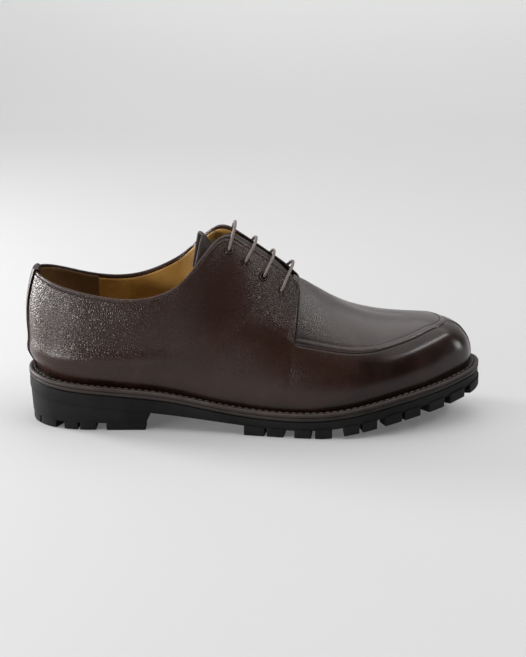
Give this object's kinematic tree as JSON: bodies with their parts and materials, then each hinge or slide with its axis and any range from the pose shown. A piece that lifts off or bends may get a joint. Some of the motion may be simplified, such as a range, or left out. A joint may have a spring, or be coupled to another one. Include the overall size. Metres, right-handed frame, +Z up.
{
  "type": "lace-up shoe",
  "caption": "Right lace-up derby shoe with a split-toe apron, a leather welt and a lugged rubber sole, standing empty.",
  "frame": {"origin": "middle of the bounding box on the floor under the sole", "axes": "+X towards the toe, +Y towards the medial side, +Z up"},
  "size_m": [0.3146, 0.1122, 0.1378],
  "materials": {
    "leather": "pebbled, waxed",
    "tongue_leather": "matt",
    "edge_leather": "stained edge",
    "rubber": "matt",
    "lining_leather": "natural, matt",
    "waxed_cord": "waxed"
  },
  "bodies": {
    "root": {"outsole": "rubber", "midsole": "edge_leather", "welt": "edge_leather", "insole": "lining_leather", "upper": "leather", "tongue": "tongue_leather", "lace_bar_1": "waxed_cord", "lace_bar_2": "waxed_cord", "lace_bar_3": "waxed_cord", "lace_bar_4": "waxed_cord"}
  },
  "joints": []
}
